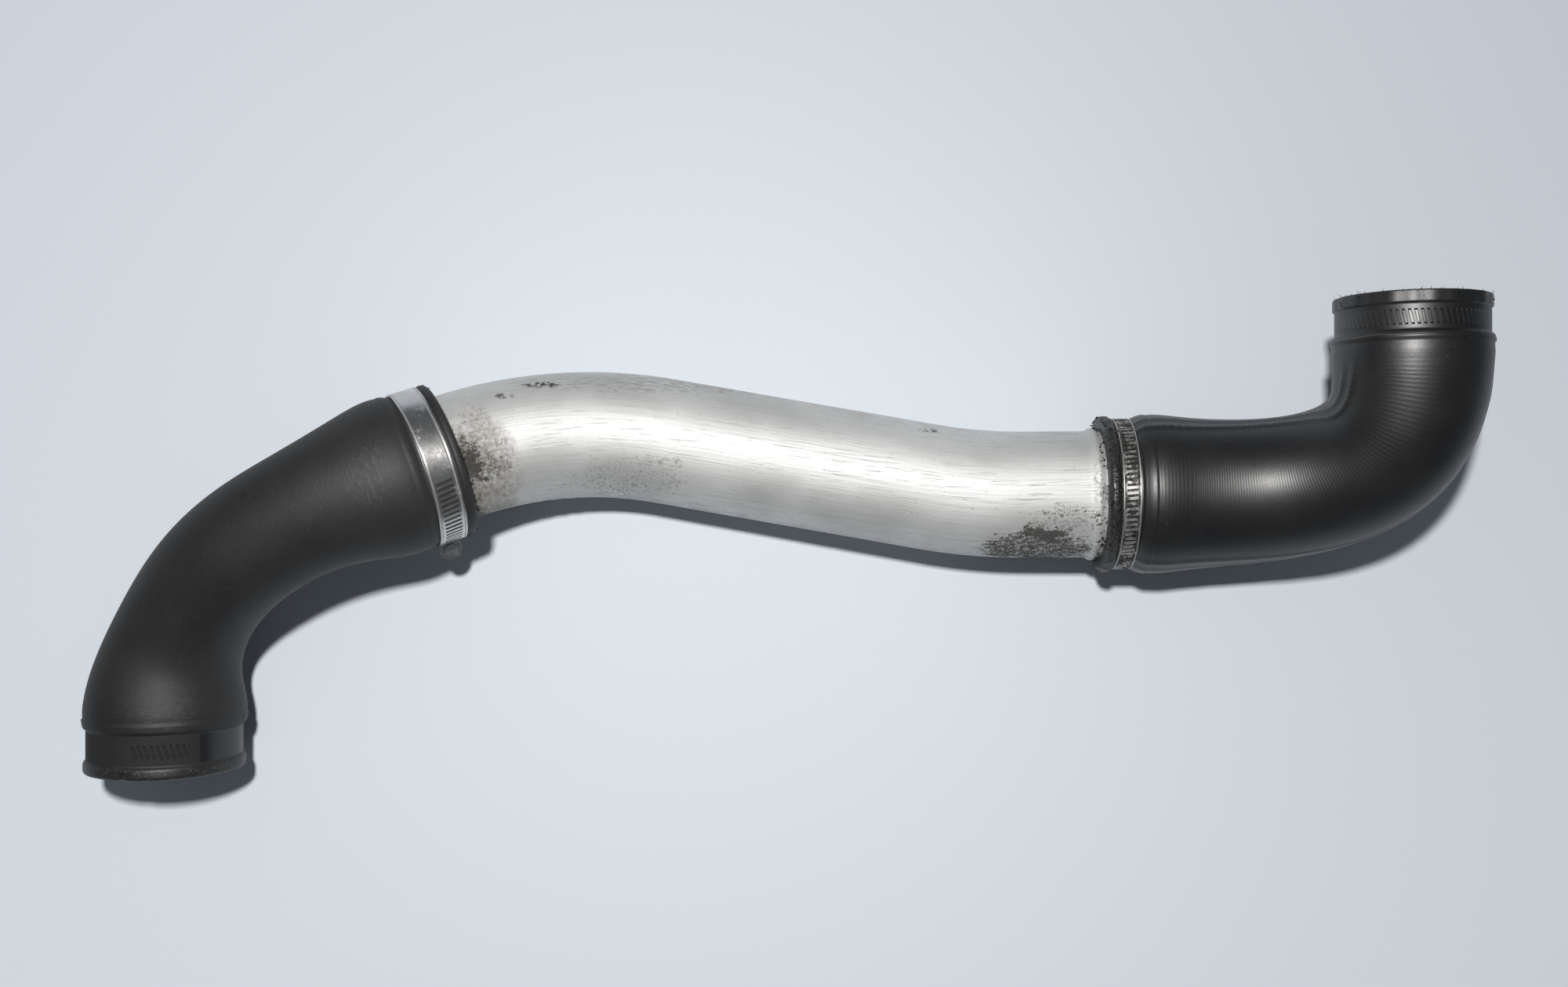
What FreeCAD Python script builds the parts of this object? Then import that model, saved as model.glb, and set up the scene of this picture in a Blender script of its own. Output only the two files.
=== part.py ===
"""Charge air duct: a bent aluminium pipe, two moulded rubber elbows and two worm drive clamps."""
import FreeCAD, Part
import math
import os

UP = FreeCAD.Vector(0, 0, 1)
ORIGIN = FreeCAD.Vector(0, 0, 0)

# Driving sizes in millimetres and degrees. The origin is the centre of the left mouth's rim.
SIZES = {
    # Centre line: the two clamped joints, the pipe's two bends and the right mouth
    "left_joint_x": 127.2,
    "left_joint_y": 142.9,
    "left_joint_z": 15.9,
    "first_bend_x": 186.7,
    "first_bend_y": 164.6,
    "first_bend_z": -8.75,
    "first_bend_radius": 150.0,
    "second_bend_x": 384.7,
    "second_bend_y": 130.0,
    "second_bend_z": -1.6,
    "second_bend_radius": 250.0,
    "right_joint_x": 453.2,
    "right_joint_y": 130.3,
    "right_joint_z": 0.7,
    "right_mouth_x": 573.1,
    "right_mouth_y": 217.4,
    "right_mouth_z": 47.8,
    # Aluminium pipe
    "pipe_radius": 30.0,
    "pipe_wall": 2.0,
    "bead_height": 1.6,
    "bead_half_width": 3.0,
    "stop_bead_gap": 0.6,
    "bead_seam": 40.0,
    # How the pipe seats in the rubber
    "seat_clearance": 0.05,
    "seat_end_gap": 0.3,
    # Left elbow
    "left_lip_radius": 36.0,
    "left_lip_length": 6.0,
    "left_lip_round": 1.8,
    "left_groove_radius": 35.0,
    "left_groove_length": 15.0,
    "left_step_radius": 36.3,
    "left_bulge_radius": 37.2,
    "left_bulge_station": 29.0,
    "left_cuff_length": 40.0,
    "left_shoulder_radius": 34.8,
    "left_neck_radius": 28.7,
    "left_mouth_flare": 0.33,
    "left_joint_flare": 0.25,
    "left_bore_radius": 30.0,
    "left_bore_length": 32.0,
    "left_neck_wall": 4.5,
    "left_mouth_lean": 9.0,
    "left_mouth_handle": 46.0,
    "left_joint_handle": 57.0,
    "left_insert": 24.0,
    "left_bead_offset": 16.5,
    "left_joint_cuff": 27.0,
    "left_joint_shoulder": 35.4,
    "left_joint_bulge": 37.7,
    "left_seat_radius": 36.1,
    "left_joint_lip": 36.9,
    "left_joint_lip_length": 4.0,
    # Right elbow
    "right_lip_radius": 33.0,
    "right_lip_length": 5.5,
    "right_lip_round": 0.6,
    "right_groove_radius": 32.4,
    "right_groove_length": 11.5,
    "right_step_radius": 33.8,
    "right_bulge_radius": 34.4,
    "right_bulge_station": 21.5,
    "right_cuff_length": 32.0,
    "right_shoulder_radius": 33.2,
    "right_neck_radius": 31.6,
    "right_mouth_flare": 0.25,
    "right_joint_flare": 0.7,
    "right_bore_radius": 27.5,
    "right_bore_length": 28.0,
    "right_neck_wall": 4.6,
    "right_mouth_lean": 0.0,
    "right_mouth_handle": 46.5,
    "right_joint_handle": 67.0,
    "right_insert": 22.0,
    "right_bead_offset": 13.5,
    "right_joint_cuff": 27.0,
    "right_joint_shoulder": 36.2,
    "right_joint_bulge": 38.1,
    "right_seat_radius": 35.1,
    "right_joint_lip": 36.9,
    "right_joint_lip_length": 5.2,
    # Left clamp
    "left_band_width": 12.7,
    "left_band_thickness": 0.7,
    "left_slot_pitch": 2.8,
    "left_slot_width": 1.3,
    "left_slot_length": 8.0,
    "left_slotted_angle": 100.0,
    "left_worm_radius": 3.2,
    "left_ridge_height": 0.75,
    "left_housing_length": 15.0,
    "left_housing_sheet": 1.0,
    "left_housing_roll": 118.0,
    "left_head_across": 7.0,
    "left_head_length": 5.5,
    # Right clamp
    "right_band_width": 8.0,
    "right_band_thickness": 0.65,
    "right_slot_pitch": 2.53,
    "right_slot_width": 1.2,
    "right_slot_length": 5.2,
    "right_slotted_angle": 318.0,
    "right_worm_radius": 2.3,
    "right_ridge_height": 0.6,
    "right_housing_length": 11.0,
    "right_housing_sheet": 0.8,
    "right_housing_roll": 130.0,
    "right_head_across": 6.0,
    "right_head_length": 4.0,
    # Both clamps
    "strap_clearance": 0.05,
    "strap_tail_angle": 42.0,
    "strap_plain_angle": 3.0,
    "strap_ramp_angle": 12.0,
    "strap_ramp_gap": 2.0,
    "strap_hidden_share": 0.8,
    "slot_slant": 6.0,
    "worm_clearance": 0.15,
    "worm_room": 0.3,
    "bearing_clearance": 0.05,
    "ridge_tip": 0.6,
    "ridge_base": 1.2,
    "head_gap": 0.2,
    "screw_tip": 1.2,
    "driver_slot_width": 1.2,
    "driver_slot_depth": 1.6,
    # How far a cutting tool reaches past the face that it opens, and the first taper inside a mouth
    "overcut": 1.0,
    "bore_taper": 1.0,
}

BEND_SECTIONS = 9
PARTS_FOLDER = "parts"

doc = FreeCAD.newDocument("charge_air_hose")
sheet = doc.addObject("Spreadsheet::Sheet", "Sizes")
for row, (alias, number) in enumerate(SIZES.items(), start=1):
    sheet.set(f"A{row}", alias)
    sheet.set(f"B{row}", str(number))
    sheet.setAlias(f"B{row}", alias)
doc.recompute()


def size(alias):
    """The number in one cell of the sheet."""
    return float(sheet.get(alias))


def point(name):
    """A point of the centre line."""
    return FreeCAD.Vector(size(f"{name}_x"), size(f"{name}_y"), size(f"{name}_z"))


def unit(vector):
    """The vector at length one."""
    return FreeCAD.Vector(vector).normalize()


def facing(position, direction, roll=0.0):
    """A placement whose Z axis is the direction and whose X axis is up, rolled about it."""
    z_axis = unit(direction)
    x_axis = unit(UP - z_axis * UP.dot(z_axis))
    upright = FreeCAD.Placement(position, FreeCAD.Rotation(x_axis, z_axis.cross(x_axis), z_axis, "ZXY"))
    return upright * FreeCAD.Placement(ORIGIN, FreeCAD.Rotation(FreeCAD.Vector(0, 0, 1), roll))


def add(kind, name, placement=None, **expressions):
    """A document object whose properties follow expressions on the sheet."""
    made = doc.addObject(kind, name)
    if placement is not None:
        made.Placement = placement
    for prop, expression in expressions.items():
        made.setExpression(prop, expression)
    return made


def along(distance):
    """A placement moved along its own Z axis."""
    return FreeCAD.Placement(FreeCAD.Vector(0, 0, distance), FreeCAD.Rotation())


def cylinder(name, radius, height, placement):
    """A cylinder with a radius and a height from the sheet."""
    return add("Part::Cylinder", name, placement, Radius=radius, Height=height)


def fuse(name, shapes):
    """One solid from several."""
    made = doc.addObject("Part::MultiFuse", name)
    made.Shapes = shapes
    return made


def cut(name, base, tool):
    """The base with the tool taken out."""
    made = doc.addObject("Part::Cut", name)
    made.Base = base
    made.Tool = tool
    return made


# Directions of the two joints, each pointing out of its hose along the pipe
left_joint = point("left_joint")
right_joint = point("right_joint")
first_bend = point("first_bend")
second_bend = point("second_bend")
left_out = unit(first_bend - left_joint)
right_out = unit(second_bend - right_joint)
pipe_start = left_joint - left_out * size("left_insert")
pipe_end = right_joint - right_out * size("right_insert")


def rounded_path(name, points, radii):
    """A wire of straight runs joined by tangent arcs, one radius for each inner point."""
    edges = []
    start = points[0]
    for before, corner, after, radius in zip(points, points[1:], points[2:], radii):
        back = unit(before - corner)
        ahead = unit(after - corner)
        half_turn = (math.pi - back.getAngle(ahead)) / 2
        reach = radius * math.tan(half_turn)
        inward = unit(back + ahead)
        middle = corner + inward * (radius / math.cos(half_turn) - radius)
        edges.append(Part.LineSegment(start, corner + back * reach).toShape())
        edges.append(Part.Arc(corner + back * reach, middle, corner + ahead * reach).toShape())
        start = corner + ahead * reach
    edges.append(Part.LineSegment(start, points[-1]).toShape())
    path = doc.addObject("Part::Feature", name)
    path.Shape = Part.Wire(edges)
    return path


def swept(name, path, radius):
    """A round bar along a path."""
    circle = add("Part::Circle", f"{name}_circle", facing(pipe_start, left_out), Radius=radius)
    made = doc.addObject("Part::Sweep", name)
    made.Sections = [circle]
    made.Spine = (path, [f"Edge{number}" for number in range(1, len(path.Shape.Edges) + 1)])
    made.Solid = True
    return made


def bead_ring(name, place, room):
    """A rolled bead, as a ring that runs into the pipe. The room is what the rubber leaves round it."""
    flank = "Sizes.bead_half_width * Sizes.bead_half_width / (2 * Sizes.bead_height)"
    ring_radius = f"{flank} + Sizes.bead_height / 2"
    return add(
        "Part::Torus",
        name,
        place,
        Radius1=f"Sizes.pipe_radius + Sizes.bead_height - ({ring_radius})",
        Radius2=f"{ring_radius} + {room}",
    )


def bead_place(side):
    """Where the bead that keeps a hose on the pipe lies."""
    joint, out = (left_joint, left_out) if side == "left" else (right_joint, right_out)
    return facing(joint - out * size(f"{side}_bead_offset"), out, size("bead_seam"))


def make_pipe():
    """The bent pipe with a bead under each hose and a stop bead at the edge of the right one."""
    corners = [pipe_start, first_bend, second_bend, pipe_end]
    path = rounded_path("pipe_path", corners, [size("first_bend_radius"), size("second_bend_radius")])
    stop_station = rubber_end("right") + size("stop_bead_gap") + size("bead_half_width")
    stop_place = facing(right_joint + right_out * stop_station, right_out, size("bead_seam"))
    outside = fuse(
        "pipe_outside",
        [
            swept("pipe_bar", path, "Sizes.pipe_radius"),
            bead_ring("left_pipe_bead", bead_place("left"), "0"),
            bead_ring("right_pipe_bead", bead_place("right"), "0"),
            bead_ring("right_stop_bead", stop_place, "0"),
        ],
    )
    return cut("aluminium_pipe", outside, swept("pipe_bore", path, "Sizes.pipe_radius - Sizes.pipe_wall"))


def seat_width(side):
    """The width of the groove that a clamp sits in: the strap and the housing's skirts beside it."""
    return f"(Sizes.{side}_band_width + 2 * Sizes.{side}_housing_sheet + 4 * Sizes.strap_clearance)"


def seat_half(side):
    """Half of that width, as a number."""
    return size(f"{side}_band_width") / 2 + size(f"{side}_housing_sheet") + 2 * size("strap_clearance")


def rubber_end(side):
    """How far the rubber reaches past the middle of its clamp."""
    return seat_half(side) + size(f"{side}_joint_lip_length")


def flare_weights(side, share):
    """How much of the mouth's and of the joint's widening is left at a share of the bend."""
    mouth = max(0.0, 1 - share / size(f"{side}_mouth_flare")) ** 2
    joint = max(0.0, 1 - (1 - share) / size(f"{side}_joint_flare")) ** 2
    return mouth, joint


def lofted(name, sections):
    """A solid through circles, given as pairs of placement and radius expression."""
    circles = []
    for number, (place, radius) in enumerate(sections):
        circles.append(add("Part::Circle", f"{name}_{number}", place, Radius=radius))
    made = doc.addObject("Part::Loft", name)
    made.Sections = circles
    made.Solid = True
    return made


def make_hose(side, rim, inward, joint, out):
    """A moulded elbow: a lipped mouth, a bend that narrows, and a seat for the pipe under the clamp."""
    cell = f"Sizes.{side}_"
    cuff_end = rim + inward * size(f"{side}_cuff_length")
    bend_end = joint - out * size(f"{side}_joint_cuff")
    lean = FreeCAD.Rotation(UP, -size(f"{side}_mouth_lean"))
    bend = Part.BezierCurve()
    bend.setPoles(
        [
            cuff_end,
            cuff_end + lean.multVec(inward) * size(f"{side}_mouth_handle"),
            bend_end - out * size(f"{side}_joint_handle"),
            bend_end,
        ]
    )
    overcut = size("overcut")
    mouth = facing(rim, inward)
    seat = facing(joint, out)
    groove_end = size(f"{side}_lip_length") + size(f"{side}_groove_length")
    bulge_middle = -seat_half(side) / 2 - size(f"{side}_joint_cuff") / 2
    skin = [
        (mouth * along(groove_end), f"{cell}step_radius"),
        (mouth * along(size(f"{side}_bulge_station")), f"{cell}bulge_radius"),
    ]
    core = [(mouth * along(size(f"{side}_bore_length")), f"{cell}bore_radius")]
    for number in range(BEND_SECTIONS + 1):
        share = number / BEND_SECTIONS
        place = facing(bend.value(share), bend.tangent(share)[0])
        mouth_weight, joint_weight = flare_weights(side, share)
        neck = f"{cell}neck_radius"
        skin.append(
            (
                place,
                f"{neck} + {mouth_weight:.4f} * ({cell}shoulder_radius - {neck})"
                f" + {joint_weight:.4f} * ({cell}joint_shoulder - {neck})",
            )
        )
        inner = f"({neck} - {cell}neck_wall)"
        core.append(
            (
                place,
                f"{inner} + {mouth_weight:.4f} * ({cell}bore_radius - {inner} - Sizes.bore_taper)"
                f" + {joint_weight:.4f} * (Sizes.pipe_radius - Sizes.pipe_wall - {inner})",
            )
        )
    skin.append((seat * along(bulge_middle), f"{cell}joint_bulge"))
    skin.append((seat * along(-seat_half(side)), f"{cell}seat_radius"))
    pipe_stop = -size(f"{side}_insert") - size("seat_end_gap")
    core[-1] = (seat * along(pipe_stop), "Sizes.pipe_radius - Sizes.pipe_wall")

    lip = cylinder(f"{side}_lip", f"{cell}lip_radius", f"{cell}lip_length", mouth)
    doc.recompute()
    soft_lip = doc.addObject("Part::Fillet", f"{side}_soft_lip")
    soft_lip.Base = lip
    rounding = size(f"{side}_lip_round")
    soft_lip.Edges = [(number, rounding, rounding) for number in (1, 3)]
    groove_reach = f"{cell}groove_length + {cell}lip_length"
    outside = fuse(
        f"{side}_outside",
        [
            soft_lip,
            cylinder(f"{side}_groove", f"{cell}groove_radius", groove_reach, mouth),
            lofted(f"{side}_skin", skin),
            cylinder(f"{side}_seat", f"{cell}seat_radius", seat_width(side), seat * along(-seat_half(side))),
            cylinder(
                f"{side}_end_lip",
                f"{cell}joint_lip",
                f"{cell}joint_lip_length",
                seat * along(seat_half(side)),
            ),
        ],
    )
    bead_room = bead_ring(f"{side}_bead_room", bead_place(side), "Sizes.seat_clearance")
    rubber_reach = f"{seat_width(side)} / 2 + {cell}joint_lip_length"
    socket_length = f"{cell}insert + Sizes.seat_end_gap + {rubber_reach} + Sizes.overcut"
    bore_reach = f"{cell}bore_length + Sizes.overcut"
    inside = fuse(
        f"{side}_inside",
        [
            cylinder(f"{side}_bore", f"{cell}bore_radius", bore_reach, mouth * along(-overcut)),
            lofted(f"{side}_core", core),
            cylinder(
                f"{side}_socket",
                "Sizes.pipe_radius + Sizes.seat_clearance",
                socket_length,
                seat * along(pipe_stop),
            ),
            bead_room,
        ],
    )
    return cut(f"{side}_elbow_hose", outside, inside)


def ring_point(radius, degrees):
    """A point of a circle round a clamp's axis."""
    turn = math.radians(degrees)
    return FreeCAD.Vector(radius * math.cos(turn), radius * math.sin(turn), 0)


def ring_arc(radius, start, end):
    """An arc round a clamp's axis."""
    middle = (start + end) / 2
    return Part.Arc(ring_point(radius, start), ring_point(radius, middle), ring_point(radius, end)).toShape()


def ring_line(radius_a, degrees_a, radius_b, degrees_b):
    """A straight edge between two points given by radius and angle."""
    return Part.LineSegment(ring_point(radius_a, degrees_a), ring_point(radius_b, degrees_b)).toShape()


def strap_radius(side):
    """The inside of the strap, on the rubber."""
    return size(f"{side}_seat_radius") + size("strap_clearance")


def tail_radius(side):
    """The inside of the strap's free end, which lies on the strap's first turn."""
    return strap_radius(side) + size(f"{side}_band_thickness") + size("strap_clearance")


def crown_radius(side):
    """The outside of the strap's free end, under the worm."""
    return tail_radius(side) + size(f"{side}_band_thickness")


def housing_half_angle(side):
    """Half of the angle that a housing covers."""
    return math.degrees(size(f"{side}_housing_length") / 2 / crown_radius(side))


def make_band(side):
    """The strap: it starts under the housing, goes once round, rises over its own start and ends past it."""
    thick = size(f"{side}_band_thickness")
    width = size(f"{side}_band_width")
    low = strap_radius(side)
    high = tail_radius(side)
    fixed_end = -housing_half_angle(side) * size("strap_hidden_share")
    ramp_end = 360 + fixed_end - size("strap_ramp_gap")
    ramp_start = ramp_end - size("strap_ramp_angle")
    tail_end = 360 + size("strap_tail_angle")
    outline = Part.Wire(
        [
            ring_arc(low, fixed_end, ramp_start),
            ring_line(low, ramp_start, high, ramp_end),
            ring_arc(high, ramp_end, tail_end),
            ring_line(high, tail_end, high + thick, tail_end),
            ring_arc(high + thick, tail_end, ramp_end),
            ring_line(high + thick, ramp_end, low + thick, ramp_start),
            ring_arc(low + thick, ramp_start, fixed_end),
            ring_line(low + thick, fixed_end, low, fixed_end),
        ]
    )
    strap = doc.addObject("Part::Feature", f"{side}_strap")
    strap.Shape = Part.Face(outline).extrude(FreeCAD.Vector(0, 0, width))
    strap.Placement = along(-width / 2)

    step = math.degrees(size(f"{side}_slot_pitch") / (high + thick))
    last = int((size("strap_tail_angle") - size("strap_plain_angle")) / step)
    first = -int(size(f"{side}_slotted_angle") / step)
    slot_width = size(f"{side}_slot_width")
    slot_length = size(f"{side}_slot_length")
    slots = []
    for number in range(first, last + 1):
        corner = FreeCAD.Vector(low - thick, -slot_width / 2, -slot_length / 2)
        slot = Part.makeBox(high - low + 3 * thick, slot_width, slot_length, corner)
        slot.rotate(ORIGIN, FreeCAD.Vector(1, 0, 0), size("slot_slant"))
        slot.rotate(ORIGIN, FreeCAD.Vector(0, 0, 1), number * step)
        slots.append(slot)
    punches = doc.addObject("Part::Feature", f"{side}_slots")
    punches.Shape = Part.makeCompound(slots)
    return cut(f"{side}_clamp_band", strap, punches)


def worm_axis(side):
    """The worm's distance from the clamp's axis."""
    return crown_radius(side) + size("worm_clearance") + size(f"{side}_worm_radius")


def across(side, start):
    """A placement on the worm's axis, with its Z axis along the worm."""
    turn = FreeCAD.Rotation(FreeCAD.Vector(1, 0, 0), -90)
    return FreeCAD.Placement(FreeCAD.Vector(worm_axis(side), start, 0), turn)


def make_housing(side):
    """The housing: an arch over the worm, curved feet on the strap and skirts down both of its edges."""
    cell = f"Sizes.{side}_"
    length = size(f"{side}_housing_length")
    sheet_metal = size(f"{side}_housing_sheet")
    crown = crown_radius(side) + size("strap_clearance")
    ridge = f"({cell}worm_radius + {cell}ridge_height)"
    room = f"({ridge} + Sizes.worm_room)"
    arch_half = size(f"{side}_worm_radius") + size(f"{side}_ridge_height") + size("worm_room")
    arch_half += sheet_metal
    room_half = arch_half - sheet_metal
    inner_length = length - 2 * sheet_metal
    half_angle = housing_half_angle(side)
    seat = seat_half(side) - size("strap_clearance")
    strap_half = size(f"{side}_band_width") / 2 + size("strap_clearance")

    roof_radius = f"{room} + {cell}housing_sheet"
    roof = cylinder(f"{side}_roof", roof_radius, f"{cell}housing_length", across(side, -length / 2))
    walls = add("Part::Box", f"{side}_walls", Width=f"{cell}housing_length")
    walls.Length = worm_axis(side)
    walls.Height = 2 * arch_half
    walls.Placement.Base = FreeCAD.Vector(0, -length / 2, -arch_half)
    feet = doc.addObject("Part::Cylinder", f"{side}_feet")
    feet.Radius = crown + sheet_metal
    feet.Height = 2 * seat
    feet.Angle = 2 * half_angle
    feet.Placement = FreeCAD.Placement(
        FreeCAD.Vector(0, 0, -seat), FreeCAD.Rotation(FreeCAD.Vector(0, 0, 1), -half_angle)
    )
    strap_way = doc.addObject("Part::Cylinder", f"{side}_strap_way")
    strap_way.Radius = crown
    strap_way.Height = 2 * strap_half
    strap_way.Placement = along(-strap_half)
    skirt_end = doc.addObject("Part::Cylinder", f"{side}_skirt_end")
    skirt_end.Radius = strap_radius(side) + size("strap_clearance")
    skirt_reach = seat + size("overcut")
    skirt_end.Height = 2 * skirt_reach
    skirt_end.Placement = along(-skirt_reach)
    worm_way = doc.addObject("Part::Cylinder", f"{side}_worm_way")
    worm_way.setExpression("Radius", room)
    worm_way.Height = inner_length
    worm_way.Placement = across(side, -inner_length / 2)
    window = doc.addObject("Part::Box", f"{side}_window")
    window.Length = worm_axis(side)
    window.Width = inner_length
    window.Height = 2 * room_half
    window.Placement.Base = FreeCAD.Vector(0, -inner_length / 2, -room_half)
    bearing = cylinder(
        f"{side}_bearing",
        f"{cell}worm_radius + Sizes.bearing_clearance",
        f"{cell}housing_length + 2 * Sizes.overcut",
        across(side, -length / 2 - size("overcut")),
    )
    outside = fuse(f"{side}_housing_outside", [roof, walls, feet])
    inside = fuse(f"{side}_housing_inside", [strap_way, skirt_end, worm_way, window, bearing])
    return cut(f"{side}_clamp_housing", outside, inside)


def make_screw(side):
    """The worm: ridges at the pitch of the slots, and a slotted hexagon head outside the housing."""
    cell = f"Sizes.{side}_"
    length = size(f"{side}_housing_length")
    root = size(f"{side}_worm_radius")
    tip = root + size(f"{side}_ridge_height")
    pitch = size(f"{side}_slot_pitch")
    half_base = size("ridge_base") / 2
    half_tip = size("ridge_tip") / 2
    start = -length / 2 - size("screw_tip")
    end = length / 2 + size("head_gap")
    reach = int((length / 2 - size(f"{side}_housing_sheet") - half_base) / pitch)
    outline = [(0, start), (root, start)]
    for number in range(-reach, reach + 1):
        middle = number * pitch
        outline.append((root, middle - half_base))
        outline.append((tip, middle - half_tip))
        outline.append((tip, middle + half_tip))
        outline.append((root, middle + half_base))
    outline += [(root, end), (0, end), (0, start)]
    section = Part.Face(Part.makePolygon([FreeCAD.Vector(radius, 0, height) for radius, height in outline]))
    worm = doc.addObject("Part::Feature", f"{side}_worm")
    worm.Shape = section.revolve(ORIGIN, FreeCAD.Vector(0, 0, 1), 360)
    worm.Placement = across(side, 0)
    head = add(
        "Part::Prism",
        f"{side}_head",
        across(side, end),
        Circumradius=f"{cell}head_across / sqrt(3)",
        Height=f"{cell}head_length",
    )
    head.Polygon = 6
    head_across = size(f"{side}_head_across")
    slot = add("Part::Box", f"{side}_driver_slot", Width="Sizes.driver_slot_depth + Sizes.overcut")
    slot.setExpression("Height", "Sizes.driver_slot_width")
    slot.Length = 2 * head_across
    slot.Placement.Base = FreeCAD.Vector(
        worm_axis(side) - head_across,
        end + size(f"{side}_head_length") - size("driver_slot_depth"),
        -size("driver_slot_width") / 2,
    )
    return cut(f"{side}_worm_screw", fuse(f"{side}_screw_blank", [worm, head]), slot)


def make_clamp(side, joint, out):
    """The three pieces of a clamp, turned so that the housing lies where it was left."""
    pieces = [make_band(side), make_housing(side), make_screw(side)]
    place = facing(joint, out, size(f"{side}_housing_roll"))
    for piece in pieces:
        piece.Placement = place
    return pieces


nodes = [make_pipe()]
nodes.append(make_hose("left", ORIGIN, FreeCAD.Vector(0, 1, 0), left_joint, left_out))
nodes.append(make_hose("right", point("right_mouth"), FreeCAD.Vector(0, -1, 0), right_joint, right_out))
nodes += make_clamp("left", left_joint, left_out)
nodes += make_clamp("right", right_joint, right_out)
doc.recompute()

for item in doc.Objects:
    if "Invalid" in item.State or "Error" in item.State:
        raise RuntimeError(f"{item.Name} failed: {item.State}")
for node in nodes:
    if node.Shape.isNull() or not node.Shape.isValid() or len(node.Shape.Solids) != 1:
        raise RuntimeError(f"{node.Name} is not one valid solid")

os.makedirs(PARTS_FOLDER, exist_ok=True)
for node in nodes:
    node.Label = node.Name
    node.Shape.exportStep(os.path.join(PARTS_FOLDER, f"{node.Label}.step"))
    print(node.Label, round(node.Shape.Volume / 1000, 2), "cm3")
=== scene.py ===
# %% [markdown]
# # A charge air duct, dressed for its photograph
# The duct is a bent aluminium pipe with a moulded rubber elbow clamped on each end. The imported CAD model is
# loaded as a fixed frame. The pipe and the elbows get denser meshes of their own, because their surfaces need
# coordinates that run along and around the tube. The clamps keep their CAD solids and only get new materials.

# %% Load the frame
import math
import random

import bpy
import numpy as np
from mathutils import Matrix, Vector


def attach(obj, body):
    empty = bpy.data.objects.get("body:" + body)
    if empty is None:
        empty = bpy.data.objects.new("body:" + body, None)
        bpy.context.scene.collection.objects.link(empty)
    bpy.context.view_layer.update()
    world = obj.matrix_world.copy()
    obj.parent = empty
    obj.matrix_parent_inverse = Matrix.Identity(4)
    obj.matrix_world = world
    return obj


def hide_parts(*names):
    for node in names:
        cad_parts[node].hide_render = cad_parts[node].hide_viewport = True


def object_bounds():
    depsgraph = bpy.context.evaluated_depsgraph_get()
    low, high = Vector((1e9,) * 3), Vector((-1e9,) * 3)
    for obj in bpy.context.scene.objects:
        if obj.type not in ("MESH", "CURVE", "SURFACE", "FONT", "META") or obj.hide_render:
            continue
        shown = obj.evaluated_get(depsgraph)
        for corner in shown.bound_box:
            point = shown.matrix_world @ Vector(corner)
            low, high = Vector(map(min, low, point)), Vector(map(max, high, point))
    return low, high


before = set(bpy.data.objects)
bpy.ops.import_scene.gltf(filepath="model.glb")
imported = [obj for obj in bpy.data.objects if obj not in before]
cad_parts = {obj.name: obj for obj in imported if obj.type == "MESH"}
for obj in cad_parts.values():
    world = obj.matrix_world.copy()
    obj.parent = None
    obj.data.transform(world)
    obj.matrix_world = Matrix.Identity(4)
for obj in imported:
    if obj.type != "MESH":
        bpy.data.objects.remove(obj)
cad_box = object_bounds()
MM = 0.001
UP = np.array([0.0, 0.0, 1.0])
print("nodes:", sorted(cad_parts))

# %% [markdown]
# ## Centre lines
# Everything here is a tube, so everything starts from a centre line. The numbers are the ones that drive the
# CAD model, in millimetres: the two joints under the clamps, the two corners of the pipe and the two mouths.
# A direction at each joint says which way the rubber opens towards the pipe.

# %% Key points
left_joint = np.array([127.2, 142.9, 15.9])
first_bend = np.array([186.7, 164.6, -8.75])
second_bend = np.array([384.7, 130.0, -1.6])
right_joint = np.array([453.2, 130.3, 0.7])
left_mouth = np.array([0.0, 0.0, 0.0])
right_mouth = np.array([573.1, 217.4, 47.8])
LEFT_INWARD = np.array([0.0, 1.0, 0.0])
RIGHT_INWARD = np.array([0.0, -1.0, 0.0])


def unit(vector):
    """The vector at length one."""
    return vector / np.linalg.norm(vector)


left_out = unit(first_bend - left_joint)
right_out = unit(second_bend - right_joint)
print("left joint opens towards", left_out.round(3), "right joint towards", right_out.round(3))

# %% [markdown]
# ## One function for every tube
# A tube is a list of rings: a centre, a direction and a radius. The rings run along the outside, turn round
# the end and come back along the inside, so the mesh is closed like the real wall. The UV map holds the share
# of a turn and the share of the length, which lets a material draw lines along or around the tube.
# A relief function may push each point in or out, for dents, ridges and torn edges.

# %% Ring meshes
COLUMNS = 168


def ring_axes(direction):
    """Two axes across a direction. Angle 0 points up, and the seam lies underneath."""
    up = unit(UP - direction * UP.dot(direction))
    return up, np.cross(direction, up)


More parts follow.
